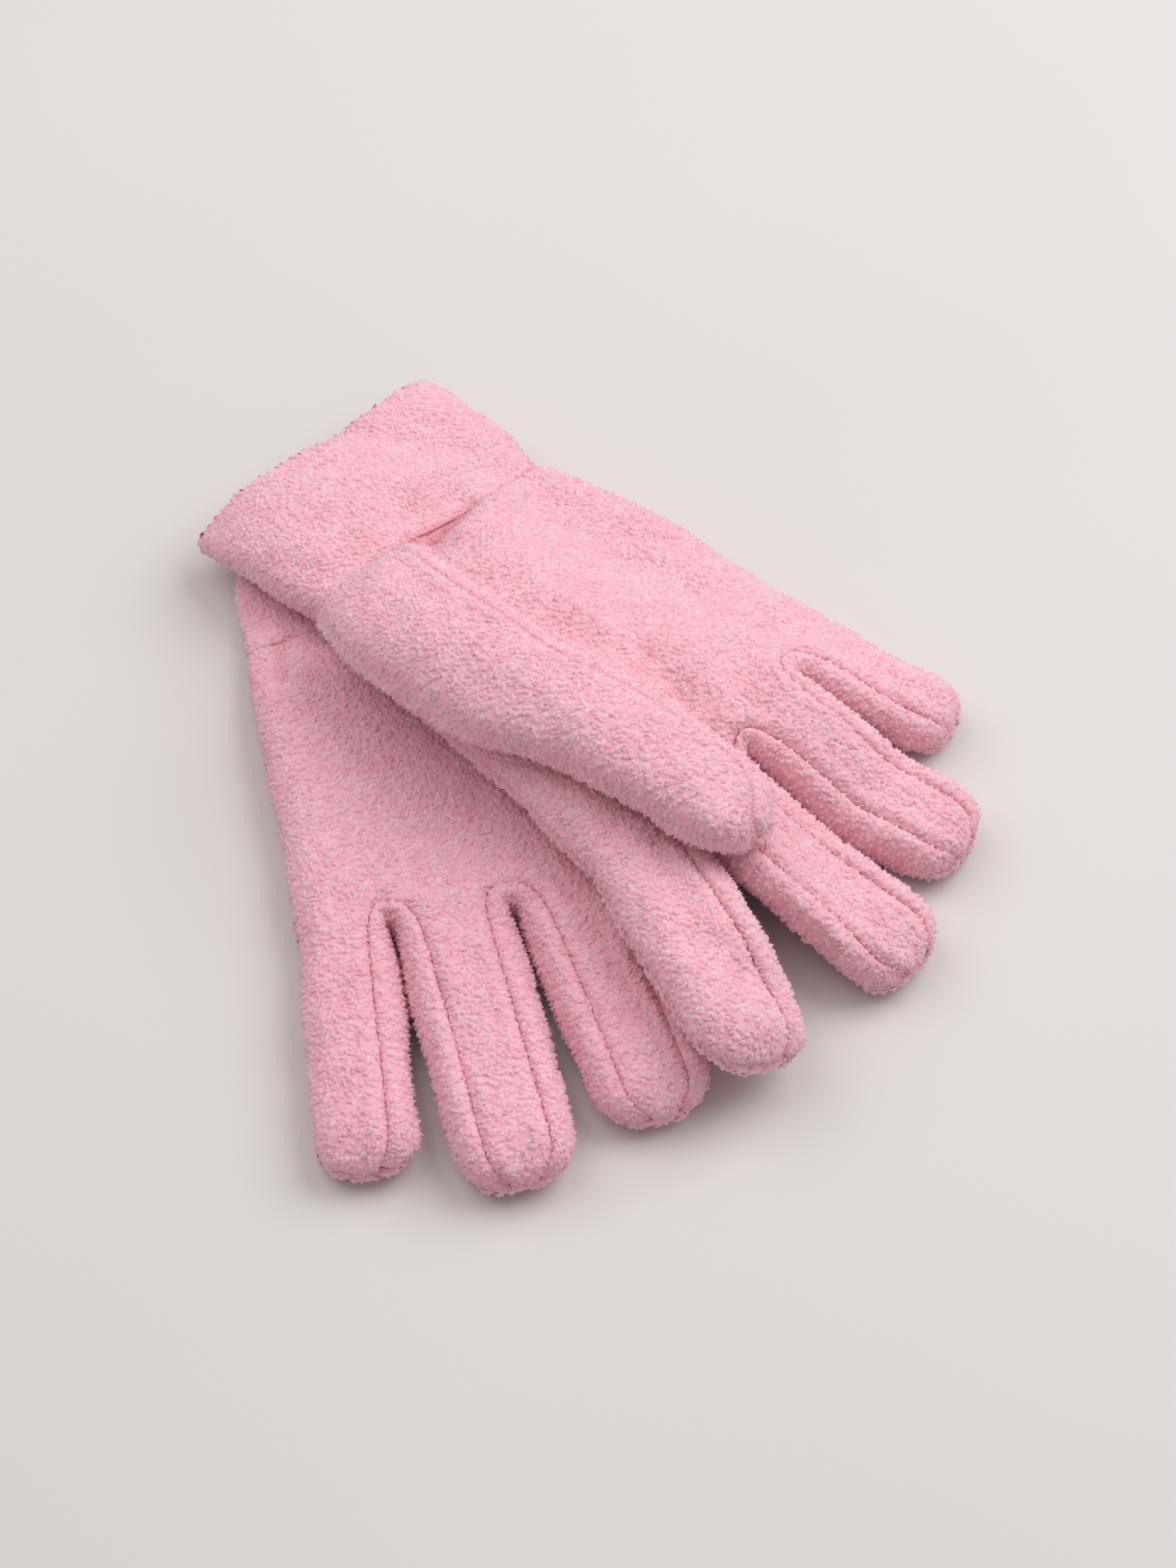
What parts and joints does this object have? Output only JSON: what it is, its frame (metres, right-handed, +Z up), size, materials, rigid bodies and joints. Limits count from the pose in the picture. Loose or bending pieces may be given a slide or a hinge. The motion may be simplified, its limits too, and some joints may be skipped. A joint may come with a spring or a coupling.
{
  "type": "pair of gloves",
  "caption": "Pair of plain fleece gloves lying palm up, the right one across the left one with its thumb folded over the palm.",
  "frame": {"origin": "centre of the bounding box's underside, on the surface that the pair lies on", "axes": "+Z up from that surface, -Y along the mean of the two gloves' directions toward the fingertips, +X toward the right glove's pinky"},
  "size_m": [0.2244, 0.2594, 0.0552],
  "materials": {
    "fleece": "matt brushed pile with a soft fuzzy edge"
  },
  "bodies": {
    "root": {"left_palm": "fleece", "left_back": "fleece", "left_fourchette_pinky_ring": "fleece", "left_fourchette_ring_middle": "fleece", "left_fourchette_middle_index": "fleece", "left_thumb_front": "fleece", "left_thumb_back": "fleece", "left_cuff": "fleece", "right_palm": "fleece", "right_back": "fleece", "right_fourchette_pinky_ring": "fleece", "right_fourchette_ring_middle": "fleece", "right_fourchette_middle_index": "fleece", "right_thumb_front": "fleece", "right_thumb_back": "fleece", "right_cuff": "fleece"}
  },
  "joints": []
}
